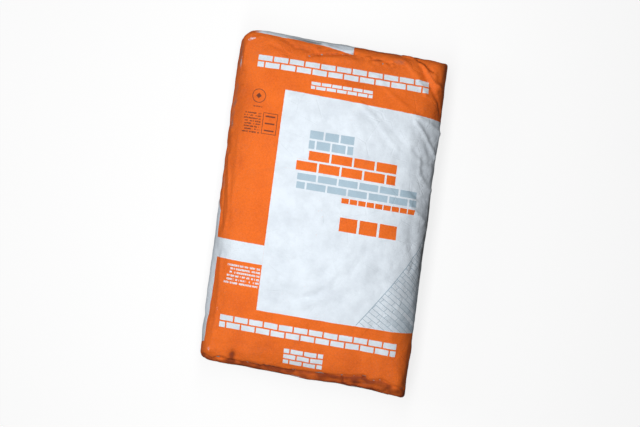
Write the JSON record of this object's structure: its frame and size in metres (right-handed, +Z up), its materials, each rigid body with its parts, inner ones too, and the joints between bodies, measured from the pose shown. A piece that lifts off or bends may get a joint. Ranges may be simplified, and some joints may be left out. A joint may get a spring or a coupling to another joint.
{
  "type": "cement bag",
  "caption": "Filled block-bottom paper valve sack of cement lying on its back, with pasted end covers, a corner valve sleeve and its powder fill.",
  "frame": {"origin": "bottom centre of the bounding box, on the surface the sack lies on", "axes": "+X across the sack, +Y along it towards the valve end, +Z up out of the printed front"},
  "size_m": [0.4236, 0.6939, 0.145],
  "materials": {
    "printed_paper": "printed kraft paper, semi-matte",
    "cement": "fine grey powder, compacted",
    "kraft_paper": "unbleached kraft paper, matte",
    "cover_paper": "bleached kraft paper, matte"
  },
  "bodies": {
    "root": {"paper_sack": "printed_paper", "cement_fill": "cement", "valve_sleeve": "kraft_paper", "top_cover": "cover_paper", "bottom_cover": "cover_paper"}
  },
  "joints": []
}
